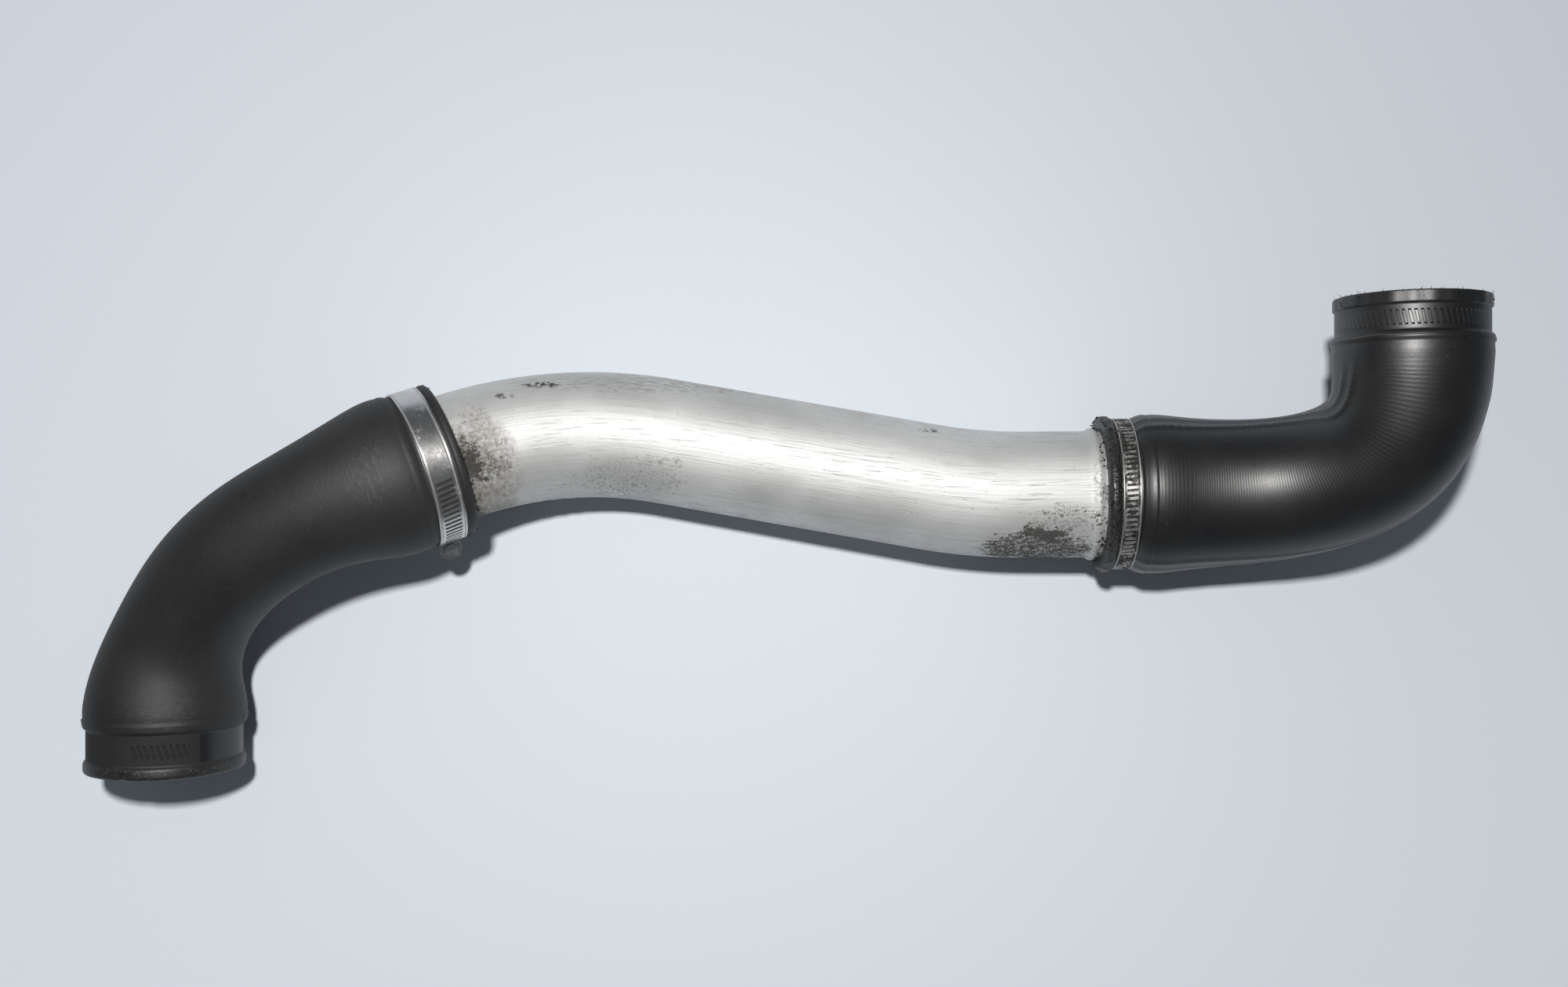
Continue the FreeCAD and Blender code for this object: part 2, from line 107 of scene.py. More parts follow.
def ring_mesh(name, outer, inner, relief=None):
    """A closed tube wall from outer rings and the inner rings that lead back."""
    turn = (np.arange(COLUMNS + 1) / COLUMNS - 0.5) * 2 * math.pi
    points = []
    runs = []
    for rings, outside in ((outer, True), (inner, False)):
        for centre, direction, radius, run in rings:
            up, side = ring_axes(direction)
            around = np.full(COLUMNS, float(radius))
            if relief is not None and outside:
                around = around + relief(np.degrees(turn[:-1]), run)
            spokes = np.outer(np.cos(turn[:-1]), up) + np.outer(np.sin(turn[:-1]), side)
            points.append(centre + spokes * around[:, None])
            runs.append(run)
    length = max(runs)
    count = len(points)
    faces = []
    corners = []
    for ring in range(count):
        after = (ring + 1) % count
        low = runs[ring] / length
        high = runs[after] / length
        for column in range(COLUMNS):
            beside = (column + 1) % COLUMNS
            pairs = ((ring, column), (ring, beside), (after, beside), (after, column))
            faces.append([row * COLUMNS + place for row, place in pairs])
            left = column / COLUMNS
            right = (column + 1) / COLUMNS
            corners += [left, low, right, low, right, high, left, high]
    mesh = bpy.data.meshes.new(name)
    mesh.from_pydata((np.concatenate(points) * MM).tolist(), [], faces)
    uv = mesh.uv_layers.new(name="Run")
    uv.data.foreach_set("uv", corners)
    mesh.shade_smooth()
    piece = bpy.data.objects.new(name, mesh)
    bpy.context.scene.collection.objects.link(piece)
    print(name, count, "rings,", len(faces), "faces, length", round(length, 1), "mm")
    return piece, length


# %% [markdown]
# ## Elbows
# Each elbow is a mouth with a lip and a groove for a clamp, a bend that narrows, and a cuff that grips the
# pipe. The bend follows a cubic Bezier curve between the two straight ends. Profiles are short lists of
# station and radius, filled in between, so a lip keeps its crisp edges where the list is dense. Where a
# straight end meets the bend, a moving average takes the crease out of the highlight.

# %% Curve helpers
def bezier(poles, share):
    """A point of a cubic curve and its direction there."""
    a, b, c, d = poles
    rest = 1 - share
    place = rest**3 * a + 3 * rest**2 * share * b + 3 * rest * share**2 * c + share**3 * d
    slope = rest**2 * (b - a) + 2 * rest * share * (c - b) + share**2 * (d - c)
    return place, unit(slope)


def fill(profile, step):
    """Stations and radii along a profile, at most a step apart."""
    stations = []
    radii = []
    for (start, radius), (end, other) in zip(profile, profile[1:]):
        parts = max(1, math.ceil((end - start) / step))
        for part in range(parts):
            share = part / parts
            stations.append(start + (end - start) * share)
            radii.append(radius + (other - radius) * share)
    stations.append(profile[-1][0])
    radii.append(profile[-1][1])
    return list(zip(stations, radii))


def soften(rings, first, last, reach=11):
    """The same rings, averaged over their neighbours between two stations, so that no crease shows."""
    table = np.array([[*centre, *axis, radius] for centre, axis, radius, _ in rings])
    window = 2 * reach + 1
    for _ in range(2):
        padded = np.pad(table, ((reach, reach), (0, 0)), mode="edge")
        smooth = sum(padded[shift : shift + len(rings)] for shift in range(window)) / window
        for number, ring in enumerate(rings):
            if first < ring[3] < last:
                table[number] = smooth[number]
    return [(row[:3], unit(row[3:6]), row[6], ring[3]) for row, ring in zip(table, rings)]


print("a 4 mm profile has", len(fill([(0.0, 1.0), (4.0, 1.0)], 0.8)), "stations")

# %% [markdown]
# ## From a form to rings
# Both elbows share one recipe and differ in their numbers. The outer rings go from the mouth over the bend to
# the cuff, and the inner ones come back: first the seat of the pipe, then the bend's bore, then the mouth's.

# %% Elbow rings
PIPE_RADIUS = 30.0
PIPE_WALL = 2.0
SEAT_RADIUS = PIPE_RADIUS + 0.05
MOUTH_STEP = 0.8
JOINT_STEP = 0.6


def elbow_rings(mouth, inward, joint, out, form):
    """Outer and inner rings of an elbow, from its mouth to its end on the pipe."""
    lean = math.radians(form["lean"])
    leaned = np.array([math.sin(lean), math.cos(lean), 0.0]) * inward[1]
    start = mouth + inward * form["cuff"]
    end = joint - out * form["joint_cuff"]
    poles = (start, start + leaned * form["mouth_handle"], end - out * form["joint_handle"], end)
    outer = []
    for station, radius in fill(form["mouth_profile"], MOUTH_STEP):
        outer.append((mouth + inward * station, inward, radius, station))
    run = form["cuff"]
    before = start
    core = []
    for number in range(1, form["bend_rings"]):
        share = number / form["bend_rings"]
        place, direction = bezier(poles, share)
        run += np.linalg.norm(place - before)
        before = place
        mouth_share = max(0.0, 1 - share / form["mouth_flare"]) ** 2
        joint_share = max(0.0, 1 - (1 - share) / form["joint_flare"]) ** 2
        radius = form["neck"] + mouth_share * (form["shoulder"] - form["neck"])
        radius += joint_share * (form["joint_shoulder"] - form["neck"])
        outer.append((place, direction, radius, run))
        core.append((place, direction, radius - form["wall"], run))
    run += np.linalg.norm(end - before)
    offset = run + form["joint_cuff"]
    for station, radius in fill(form["joint_profile"], JOINT_STEP):
        outer.append((joint + out * station, out, radius, offset + station))
    inner = []
    last = form["joint_profile"][-1][0]
    inner.append((joint + out * last, out, SEAT_RADIUS + 0.35, offset + last))
    for station in (last - 0.4, 0.0, -form["insert"]):
        inner.append((joint + out * station, out, SEAT_RADIUS, offset + station))
    inner.append((joint - out * form["insert"], out, PIPE_RADIUS - PIPE_WALL, offset - form["insert"]))
    inner += core[::-4]
    for station, radius in form["bore_profile"]:
        inner.append((mouth + inward * station, inward, radius, station))
    return soften(outer, form["crisp_until"], offset - 11), inner


# %% [markdown]
# ## The two forms
# All lengths are in millimetres. A station counts from the mouth's rim, or from the middle of the clamp with
# the pipe ahead. The left elbow narrows more in its bend and leaves its mouth at a slight lean.

# %% Elbow forms
LEFT_FORM = {
    "cuff": 40.0, "joint_cuff": 27.0, "mouth_handle": 46.0, "joint_handle": 57.0, "lean": 9.0,
    "mouth_flare": 0.33, "joint_flare": 0.25, "neck": 28.7, "shoulder": 34.8, "joint_shoulder": 35.4,
    "wall": 4.5, "insert": 24.3, "bend_rings": 130, "crisp_until": 25.0,
    "mouth_profile": [
        (0.0, 31.2), (0.0, 34.4), (0.25, 35.1), (0.8, 35.7), (1.8, 36.0), (4.2, 36.0), (5.2, 35.8),
        (5.7, 35.4), (6.0, 35.0), (20.6, 35.0), (21.0, 35.3), (21.4, 36.1), (22.2, 36.5), (25.0, 36.95),
        (28.5, 37.15), (31.0, 36.95), (34.0, 36.4), (37.0, 35.6), (40.0, 34.85),
    ],
    "joint_profile": [
        (-27.0, 35.5), (-24.0, 36.3), (-21.0, 37.1), (-18.0, 37.6), (-15.0, 37.7), (-12.0, 37.4),
        (-9.5, 36.9), (-8.2, 36.4), (-7.4, 36.1), (7.3, 36.1), (7.6, 36.5), (8.2, 36.85), (9.4, 36.95),
        (10.4, 36.7), (11.1, 36.0), (11.4, 35.0), (11.45, 33.0), (11.45, 31.0),
    ],
    "bore_profile": [(40.0, 29.4), (32.0, 30.0), (16.0, 30.0), (0.8, 30.0), (0.2, 30.4)],
}
RIGHT_FORM = {
    "cuff": 32.0, "joint_cuff": 27.0, "mouth_handle": 46.5, "joint_handle": 67.0, "lean": 0.0,
    "mouth_flare": 0.25, "joint_flare": 0.7, "neck": 31.6, "shoulder": 33.2, "joint_shoulder": 36.2,
    "wall": 4.6, "insert": 22.3, "bend_rings": 150, "crisp_until": 20.5,
    "mouth_profile": [
        (0.0, 28.4), (0.0, 32.5), (0.2, 32.9), (0.6, 33.0), (4.9, 33.0), (5.3, 32.9), (5.5, 32.4),
        (16.6, 32.4), (17.0, 32.6), (17.3, 33.3), (17.9, 33.75), (19.5, 34.2), (21.5, 34.4), (24.0, 34.25),
        (27.0, 33.85), (30.0, 33.45), (32.0, 33.25),
    ],
    "joint_profile": [
        (-27.0, 36.25), (-24.0, 36.9), (-20.0, 37.7), (-16.0, 38.1), (-12.0, 37.9), (-8.5, 37.1),
        (-6.0, 36.0), (-5.0, 35.3), (-4.8, 35.1), (4.8, 35.1), (5.0, 35.5), (5.6, 36.3), (6.5, 36.9),
        (8.2, 36.9), (9.2, 36.5), (9.8, 35.7), (10.05, 34.6), (10.1, 33.0), (10.1, 31.0),
    ],
    "bore_profile": [(32.0, 27.1), (28.0, 27.5), (14.0, 27.5), (0.6, 27.5), (0.2, 27.9)],
}
left_rings = elbow_rings(left_mouth, LEFT_INWARD, left_joint, left_out, LEFT_FORM)
right_rings = elbow_rings(right_mouth, RIGHT_INWARD, right_joint, right_out, RIGHT_FORM)
print("left rings", len(left_rings[0]), "right rings", len(right_rings[0]))

# %% [markdown]
# ## Relief of the rubber
# Moulded rubber is never quite round. A few slow waves bend the highlights, the left lip has a small tear,
# and the right elbow carries the low ridges that the wrapping left along its sides.

# %% Relief functions
def hump(angle, centre, width):
    """A smooth rise about an angle, in degrees."""
    away = (angle - centre + 180) % 360 - 180
    return np.exp(-((away / width) ** 2))


LEFT_LIP_END = 6
LEFT_GROOVE_END = 21
RIGHT_LIP_END = 5.5
TEAR_ANGLE = -11
PAD_ANGLE = 74


def left_relief(angle, run):
    """Slow waves, a torn lip, and a lip and groove pressed in where the old clamp sat."""
    body = min(1.0, max(0.0, (run - 40) / 30))
    waves = 0.25 * np.sin(np.radians(2 * angle) + run / 31) + 0.15 * np.sin(np.radians(3 * angle) - run / 17)
    moved = body * waves
    if run < LEFT_LIP_END:
        moved = moved - 1.5 * hump(angle, TEAR_ANGLE, 2.6) * (1 - run / LEFT_LIP_END)
        moved = moved - 0.35 * hump(angle, 66, 14) + 0.25 * np.sin(np.radians(5 * angle + 40))
    if LEFT_LIP_END <= run <= LEFT_GROOVE_END:
        moved = moved - 0.45 * hump(angle, PAD_ANGLE, 18) + 0.2 * hump(angle, -50, 9)
    return moved


def right_relief(angle, run):
    """Ridges along both sides, a little twisted, and slow waves."""
    body = min(1.0, max(0.0, (run - 26) / 14)) * min(1.0, max(0.0, (235 - run) / 20))
    drift = 7 * math.sin(run / 43)
    rope = 0.18 * math.sin(run * 2 * math.pi / 3.1)
    ridges = (0.75 + rope) * hump(angle, 62 + drift, 2.4) + 0.55 * hump(angle, 74 + drift, 2.2)
    ridges = ridges + 0.6 * hump(angle, -66 - drift, 2.6) + 0.45 * hump(angle, -79 - drift, 2.4)
    waves = 0.2 * np.sin(np.radians(2 * angle) - run / 26)
    moved = body * (ridges + waves)
    if run < RIGHT_LIP_END:
        moved = moved + 0.22 * np.sin(np.radians(17 * angle)) * np.sin(np.radians(7 * angle + 20))
    return moved


left_elbow, left_length = ring_mesh("left_elbow", *left_rings, left_relief)
right_elbow, right_length = ring_mesh("right_elbow", *right_rings, right_relief)
for piece, node, slot in (
    (left_elbow, "left_elbow_hose", "left_rubber"),
    (right_elbow, "right_elbow_hose", "right_rubber"),
):
    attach(piece, "root")
    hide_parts(node)

# %% [markdown]
# ## Pipe
# The pipe is a drawn tube with two bends. Its straight runs and arcs are sampled into rings, and the rolled
# beads are small rises of the radius. A bender leaves faint wrinkles on the inside of the first bend.

# %% Pipe rings
BEADS = ((-16.5, "left"), (-13.5, "right"), (13.7, "right"))
BEAD_HEIGHT = 1.6
BEAD_REACH = 3
NEAR_JOINT = 40
LEFT_INSERT = 24.0
RIGHT_INSERT = 22.0
BEND_RADII = (150.0, 250.0)
PIPE_STEP = 1.6


def pipe_line(points, radii, step):
    """Points and directions along straight runs that are joined by tangent arcs."""
    line = []
    start = points[0]
    for before, corner, after, radius in zip(points, points[1:], points[2:], radii):
        back = unit(before - corner)
        ahead = unit(after - corner)
        half_turn = (math.pi - math.acos(back.dot(ahead))) / 2
        reach = radius * math.tan(half_turn)
        first = corner + back * reach
        centre = corner + unit(back + ahead) * radius / math.cos(half_turn)
        parts = math.ceil(np.linalg.norm(first - start) / step)
        line += [(start + (first - start) * part / parts, -back) for part in range(parts)]
        spoke = unit(first - centre)
        parts = math.ceil(2 * half_turn * radius / step)
        for part in range(parts):
            turn = 2 * half_turn * part / parts
            direction = unit(-back * math.cos(turn) - spoke * math.sin(turn))
            line.append((centre + radius * (spoke * math.cos(turn) - back * math.sin(turn)), direction))
        start = corner + ahead * reach
    parts = math.ceil(np.linalg.norm(points[-1] - start) / step)
    direction = unit(points[-1] - start)
    line += [(start + (points[-1] - start) * part / parts, direction) for part in range(parts + 1)]
    return line


left_end = left_joint - left_out * LEFT_INSERT
right_end = right_joint - right_out * RIGHT_INSERT
joints = {"left": (left_joint, left_out), "right": (right_joint, right_out)}
pipe_outer = []
pipe_inner = []
pipe_run = 0.0
previous = left_end
for place, direction in pipe_line((left_end, first_bend, second_bend, right_end), BEND_RADII, PIPE_STEP):
    pipe_run += np.linalg.norm(place - previous)
    previous = place
    radius = PIPE_RADIUS
    for station, side in BEADS:
        joint, out = joints[side]
        away = (place - joint).dot(out) - station
        if np.linalg.norm(place - joint) < NEAR_JOINT and abs(away) < BEAD_REACH:
            radius += BEAD_HEIGHT * math.cos(away / BEAD_REACH * math.pi / 2) ** 2
    pipe_outer.append((place, direction, radius, pipe_run))
    pipe_inner.append((place, direction, PIPE_RADIUS - PIPE_WALL, pipe_run))
print("pipe rings", len(pipe_outer))


# %% [markdown]
# ## Pipe mesh
# The bend's wrinkles and flats are a fraction of a millimetre, and show only in the highlight. The inner
# rings are thinned out, because the bore is smooth and mostly hidden.

# %% Pipe mesh
def pipe_relief(angle, run):
    """Faint wrinkles on the inside of the first bend, and slow flats from the bending tool."""
    inside = math.exp(-(((run - 84) / 16) ** 2))
    wrinkles = 0.22 * inside * math.sin(run * 2 * math.pi / 9) * hump(angle, 70, 26)
    return wrinkles - 0.3 * math.exp(-(((run - 90) / 40) ** 2)) * hump(angle, 20, 40)


pipe, pipe_length = ring_mesh("pipe", pipe_outer, pipe_inner[::-3], pipe_relief)
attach(pipe, "root")
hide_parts("aluminium_pipe")

# %% [markdown]
# ## Shader sums as Python sums
# A material is easier to read as arithmetic than as a web of nodes. The class below wraps one socket, and
# Python's operators add Math nodes behind the scenes. Every other node comes from one method that takes a
# type, its settings and its inputs.

# %% Socket class
class Socket:
    """A shader socket that takes part in Python sums."""

    def __init__(self, tree, socket):
        self.tree = tree
        self.socket = socket

    def node(self, kind, settings, inputs, output=0):
        """A new node in this tree, and one of its outputs."""
        made = self.tree.nodes.new(kind)
        for name, value in settings.items():
            setattr(made, name, value)
        for name, value in inputs.items():
            if isinstance(value, Socket):
                self.tree.links.new(value.socket, made.inputs[name])
            else:
                made.inputs[name].default_value = value
        return Socket(self.tree, made.outputs[output])

    def math(self, operation, *others):
        """A Math node with this socket first."""
        return self.node("ShaderNodeMath", {"operation": operation}, dict(enumerate((self, *others))))

    def __add__(self, other):
        return self.math("ADD", other)

    def __mul__(self, other):
        return self.math("MULTIPLY", other)

    def __sub__(self, other):
        return self.math("SUBTRACT", other)

    def __rsub__(self, other):
        return self.math("MULTIPLY_ADD", -1.0, other)

    def __truediv__(self, other):
        return self.math("DIVIDE", other)

    def __rtruediv__(self, other):
        return self.node("ShaderNodeMath", {"operation": "DIVIDE"}, {0: other, 1: self})

    __radd__ = __add__
    __rmul__ = __mul__

    def capped(self):
        """This value, or 1 where it is more."""
        return self.math("MINIMUM", 1.0)

    def step(self, low, high):
        """A smooth rise from 0 at low to 1 at high."""
        inputs = {"Value": self, "From Min": low, "From Max": high}
        return self.node("ShaderNodeMapRange", {"interpolation_type": "SMOOTHSTEP"}, inputs)

    def band(self, low, full, fade, high):
        """A smooth band that rises from low to full and falls from fade to high."""
        return self.step(low, full) * (1.0 - self.step(fade, high))

    def noise(self, scale, detail=3.0, roughness=0.55):
        """Noise over this vector."""
        inputs = {"Vector": self, "Scale": scale, "Detail": detail, "Roughness": roughness}
        return self.node("ShaderNodeTexNoise", {}, inputs)

    def wave(self, period):
        """A sine of this length."""
        return (self * (2 * math.pi / period)).math("SINE")

    def mix(self, below, above):
        """One colour over another, with this socket as the share of the upper one."""
        return self.node("ShaderNodeMix", {"data_type": "RGBA"}, {0: self, 6: below, 7: above}, 2)


print("Socket sums use + - * / and their reflected forms")

# %% [markdown]
# ## A palette helper
# Each material starts with the same questions: where is the point, how far along the tube, how far round it?
# The helper answers them and hands back a few tools: an oval patch seen from above, and a bump.

# %% Material helper
class Paint:
    """A material, its coordinates and its Principled shader."""

    def __init__(self, name, length=1.0, **constants):
        self.material = bpy.data.materials.new(name)
        self.material.use_nodes = True
        tree = self.material.node_tree
        self.shader = tree.nodes["Principled BSDF"]
        self.base = Socket(tree, self.shader.outputs[0])
        for socket, value in constants.items():
            self.shader.inputs[socket.replace("_", " ").title().replace("Ior", "IOR")].default_value = value
        self.place = self.base.node("ShaderNodeTexCoord", {}, {}, "Object")
        self.x, self.y, self.z = self.split(self.place)
        run = self.base.node("ShaderNodeUVMap", {"uv_map": "Run"}, {})
        turn, share, _ = self.split(run)
        self.angle = turn * 360.0 - 180.0
        self.run = share * length

    def split(self, vector):
        """The three parts of a vector."""
        first = self.base.node("ShaderNodeSeparateXYZ", {}, {0: vector})
        return [Socket(first.tree, output) for output in first.socket.node.outputs]

    def join(self, x, y, z):
        """A vector from three parts."""
        return self.base.node("ShaderNodeCombineXYZ", {}, {0: x, 1: y, 2: z})

    def patch(self, x, y, wide, high, ragged=None):
        """An oval seen from above, in millimetres, 1 in its middle and 0 outside."""
        across = (self.x * 1000.0 - x) / wide
        along = (self.y * 1000.0 - y) / high
        reach = across * across + along * along
        if ragged is not None:
            reach = reach + ragged
        return 1.0 - reach.step(0.15, 1.0)

    def bump(self, height, strength=1.0):
        """A bump whose height is in millimetres."""
        return self.base.node("ShaderNodeBump", {}, {"Height": height, "Distance": MM, "Strength": strength})

    def feed(self, **sockets):
        """Links what varies over the surface."""
        for name, value in sockets.items():
            self.base.tree.links.new(value.socket, self.shader.inputs[name.replace("_", " ").title()])
        return self.material


def dress(thing, material):
    """One material on an object."""
    thing.data.materials.clear()
    thing.data.materials.append(material)
    print(thing.name, "wears", material.name)


# %% [markdown]
# ## Bare aluminium
# Drawn tube keeps fine lines along its length. Years in an engine bay add oil stains by the left clamp, a
# black smudge near the right one, grey oxide freckles and small dark pits. Stains cover the metal, so they
# lower Metallic and raise Roughness where they lie. A stain is a soft patch added to fine noise, so it is
# dense in its middle and breaks into specks at its edge.

# %% Pipe material
DULL_ALUMINIUM = (0.62, 0.62, 0.61, 1)
BRIGHT_ALUMINIUM = (0.74, 0.74, 0.735, 1)
DRAWN_LINE = (0.45, 0.45, 0.44, 1)
OXIDE = (0.19, 0.19, 0.185, 1)
OIL = (0.11, 0.075, 0.03, 1)
SOOT = (0.02, 0.018, 0.016, 1)


def pipe_paint():
    """Satin drawn aluminium with stains."""
    paint = Paint("pipe_aluminium", pipe_length, specular_ior_level=0.5)
    arc = paint.angle * (math.pi / 180 * PIPE_RADIUS)
    drawn = paint.join(arc, paint.run * 0.015, 0.0).noise(1.3, 4.0, 0.6)
    streaks = paint.join(arc, paint.run * 0.24, 4.0).noise(0.75, 5.0, 0.68)
    flecks = paint.join(arc, paint.run * 0.45, 9.0).noise(1.5, 3.0, 0.62)
    scratches = paint.join(arc + paint.run * 0.06, paint.run * 0.035, 2.0).noise(1.7, 2.0, 0.5)
    broad = paint.place.noise(24.0, 3.0)
    fine = paint.place.noise(520.0, 4.0, 0.65)
    cloud = paint.place.noise(85.0, 5.0, 0.65)
    ragged = (cloud - 0.5) * 2.6
    oil = paint.patch(154, 140, 22, 34, ragged) * (fine + cloud).step(0.6, 1.25)
    speckle = streaks * 0.3 + fine * 0.3 + paint.place.noise(1300.0, 3.0, 0.7) * 0.4
    soot = paint.patch(149, 137, 10, 34, ragged) + paint.patch(160, 144, 13, 9, ragged) * 0.8
    soot = (speckle + soot * 0.2).step(0.58, 0.76)
    smudge = paint.patch(412, 106, 36, 11, ragged * 0.6) + paint.patch(424, 118, 26, 11, ragged * 0.6) * 0.6
    smudge = (speckle + smudge * 0.2).step(0.6, 0.72) * smudge.step(0.02, 0.2)
    freckles = paint.patch(222, 138, 34, 12, ragged) * flecks.step(0.52, 0.62) * 0.75
    underside = 1.0 - paint.z.step(-0.01, 0.024)
    lower = underside * (flecks.step(0.54, 0.66) * 0.5 + cloud.step(0.4, 0.7) * 0.18)
    pits = flecks.step(0.67, 0.72) * broad.step(0.36, 0.55) * 0.8
    crown = paint.patch(236, 182, 80, 6, ragged) * streaks.step(0.45, 0.6) * 0.45
    marks = paint.patch(166, 175.5, 6, 1.8, ragged) + paint.patch(182, 181, 9, 2.2, ragged)
    marks = (marks + paint.patch(361, 160, 7, 1.8, ragged)) * fine.step(0.42, 0.55) * 0.85
    collar = paint.patch(444, 130, 9, 46, ragged) * (fine + cloud).step(0.88, 1.15) * 0.8
    black = (smudge * 0.92 + pits + crown + marks + soot * 0.9 + collar).capped()
    lines = scratches.step(0.6, 0.68) * 0.25 + streaks.step(0.6, 0.72) * 0.22
    grey = (freckles + lower + lines).capped()
    metal = broad.step(0.3, 0.7).mix(DULL_ALUMINIUM, BRIGHT_ALUMINIUM)
    metal = (drawn.step(0.4, 0.75) * 0.4).mix(metal, DRAWN_LINE)
    color = grey.mix(metal, OXIDE)
    color = (oil * 0.75).capped().mix(color, OIL)
    color = black.mix(color, SOOT)
    dirt = (black + grey * 0.6 + oil * 0.5).capped()
    return paint.feed(
        base_color=color,
        metallic=0.8 - dirt * 0.7,
        roughness=0.54 + drawn * 0.14 + dirt * 0.3 + broad * 0.14,
        normal=paint.bump(drawn * 0.06 + fine * 0.03 + cloud * 0.05 - scratches.step(0.62, 0.7) * 0.03),
    )


dress(pipe, pipe_paint())

# %% [markdown]
# ## Matte rubber
# The left elbow is charcoal with a faint brown bloom. Dust sits in its grain and on its lip. The clamp that
# is gone left a print in the groove: a row of slots near the top and a smooth, shiny pad beside it.

# %% Left rubber
CHARCOAL = (0.0105, 0.0105, 0.011, 1)
BROWN_BLOOM = (0.0155, 0.0145, 0.014, 1)
RUBBER_DUST = (0.13, 0.13, 0.13, 1)
PRINT_BLACK = (0.005, 0.005, 0.0055, 1)


def left_paint():
    """Dusty charcoal rubber with the print of a strap."""
    paint = Paint("left_rubber", left_length, specular_ior_level=0.55)
    cloud = paint.place.noise(30.0, 4.0, 0.6)
    grain = paint.place.noise(700.0, 3.0, 0.65)
    specks = paint.place.noise(620.0, 2.0, 0.5)
    streak = paint.join(paint.angle * 0.05, paint.run * 0.35, 0.0).noise(3.0, 3.0)
    in_groove = paint.run.band(6.4, 7.2, 19.6, 20.6)
    pad = in_groove * paint.angle.band(44.0, 48.0, 96.0, 106.0)
    row = paint.run.band(9.4, 10.2, 15.4, 16.2) * paint.angle.band(-4.0, -2.0, 39.0, 41.0)
    slots = row * (paint.angle + paint.run * 0.5).wave(4.6).step(0.1, 0.6)
    dots = row * (1.0 - paint.run.step(11.2, 12.0))
    lip = 1.0 - paint.run.step(4.5, 6.6)
    ragged = (cloud - 0.5) * 2.0
    scuff = paint.patch(112, 138, 13, 17, ragged) * streak.step(0.45, 0.7)
    scuff = scuff + paint.patch(12, 34, 15, 17, ragged) * streak.step(0.5, 0.75)
    spot = paint.patch(56, 130, 3.2, 3.2)
    dust = specks.step(0.7, 0.78) * (cloud.step(0.4, 0.65) * 0.22 + lip * 0.3)
    dust = (dust + scuff * 0.35 + lip * grain.step(0.5, 0.7) * 0.3).capped() * (1.0 - pad)
    color = cloud.step(0.35, 0.7).mix(CHARCOAL, BROWN_BLOOM)
    dust = (dust + grain.step(0.55, 0.8) * 0.08 + streak.step(0.55, 0.8) * 0.04).capped()
    color = dust.mix(color, RUBBER_DUST)
    dark = (spot * 0.7 + slots * 0.5 + in_groove * 0.45).capped()
    color = dark.mix(color, PRINT_BLACK)
    height = grain * 0.09 + cloud * 0.2 + streak * 0.08 - slots * 0.6 - dots * 0.1 + specks * 0.03
    return paint.feed(
        base_color=color,
        roughness=0.48 + cloud * 0.18 + dust * 0.2 + grain * 0.08 + in_groove * 0.2 - pad * 0.45 - lip * 0.14,
        normal=paint.bump(height * (1.0 - pad * 0.85)),
    )


dress(left_elbow, left_paint())

# %% [markdown]
# ## Wrapped rubber
# The right elbow was cured under a wound cloth, so fine rings about 1.6 mm apart cross its surface and show
# in the highlight. It is blacker and glossier. The groove by its mouth keeps a ladder of rib marks from the
# strap, and the end by the clamp is crumbling.

# %% Right rubber
DEEP_BLACK = (0.004, 0.004, 0.0045, 1)
WORN_BLACK = (0.007, 0.0068, 0.0066, 1)
PALE_DUST = (0.13, 0.125, 0.12, 1)
WRAP_PITCH = 1.6


def right_paint():
    """Glossy black rubber with wrap lines."""
    paint = Paint("right_rubber", right_length, specular_ior_level=0.75)
    cloud = paint.place.noise(34.0, 4.0, 0.6)
    grain = paint.place.noise(800.0, 3.0, 0.65)
    specks = paint.place.noise(760.0, 2.0, 0.5)
    wander = (paint.place.noise(60.0, 2.0) - 0.5) * 0.8
    rings = (paint.run + wander).wave(WRAP_PITCH)
    body = paint.run.step(24.0, 34.0)
    in_groove = paint.run.band(5.8, 6.6, 15.8, 16.8)
    ribs = in_groove * paint.run.band(8.0, 9.0, 14.0, 15.0)
    ribs = ribs * (paint.angle + paint.run * 0.4).wave(4.4).step(-0.1, 0.5)
    end = paint.run.step(right_length - 12.0, right_length - 8.0)
    crumbly = end * (grain + specks).step(0.95, 1.2)
    near = paint.run.step(right_length - 60.0, right_length - 20.0)
    dust = specks.step(0.7, 0.78) * (0.05 + near * 0.3 + (1.0 - body) * 0.35)
    crack = paint.run + wander * 3.0
    crack = crack.band(18.6, 18.9, 19.2, 19.5) * paint.angle.band(4.0, 12.0, 85.0, 100.0)
    color = cloud.step(0.35, 0.7).mix(DEEP_BLACK, WORN_BLACK)
    color = (dust + crumbly * 0.12 + crack * 0.3).capped().mix(color, PALE_DUST)
    height = rings * body * 0.011 + grain * 0.03 + cloud * 0.15 + ribs * 0.35 + crumbly * 0.5 + crack * 0.2
    return paint.feed(
        base_color=color,
        roughness=0.33 + cloud * 0.14 + dust * 0.25 + crumbly * 0.1 + grain * 0.05 - ribs * 0.05,
        normal=paint.bump(height),
    )


dress(right_elbow, right_paint())

# %% [markdown]
# ## Clamp steel
# The left strap is bright rolled strip and the right one is dull with grime but worn bright where it rubs.
# Both straps carry a dark line along each edge, painted shade in the crease there, added to the grime. How
# far a point lies from the clamp's middle plane tells the edges from the face.
# One number says how clean the steel is: 1 is bright, and below 0 is filthy.

# %% Steel materials
DULL_STEEL = (0.50, 0.49, 0.47, 1)
BRIGHT_STEEL = (0.66, 0.655, 0.65, 1)
GRIME = (0.035, 0.032, 0.028, 1)
LEFT_STRAP_HALF = 6.35
RIGHT_STRAP_HALF = 4.0
NO_EDGES = 40.0


